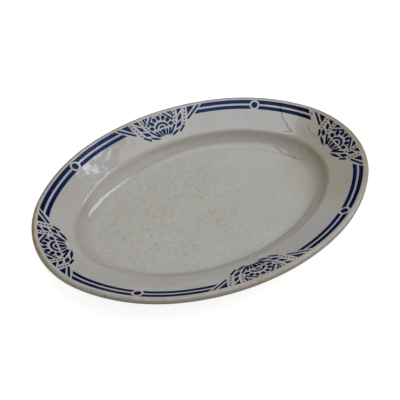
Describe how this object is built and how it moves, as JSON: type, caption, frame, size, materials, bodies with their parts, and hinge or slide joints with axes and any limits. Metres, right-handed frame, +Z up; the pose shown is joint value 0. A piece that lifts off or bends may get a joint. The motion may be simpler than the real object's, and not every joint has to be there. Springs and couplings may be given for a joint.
{
  "type": "oval serving platter",
  "caption": "Oval serving platter with a wide sloping rim, a deep flat well, a foot ring and a stencilled cobalt border of bands, roundels and fans.",
  "frame": {"origin": "middle of the foot ring's resting face, under the centre of the oval", "axes": "+X along the platter's length, +Y across it, +Z up out of the well"},
  "size_m": [0.35, 0.2714, 0.038],
  "materials": {
    "glazed_earthenware": "glossy clear glaze over a greyish cream body, with fine crazing and stains",
    "cobalt_colour": "dark cobalt blue stencilled colour under the same glossy glaze"
  },
  "bodies": {
    "root": {"body": "glazed_earthenware", "outer_band": "cobalt_colour", "inner_band": "cobalt_colour", "roundels": "cobalt_colour", "far_fan": "cobalt_colour", "near_fan": "cobalt_colour", "left_fan": "cobalt_colour", "right_fan": "cobalt_colour"}
  },
  "joints": []
}
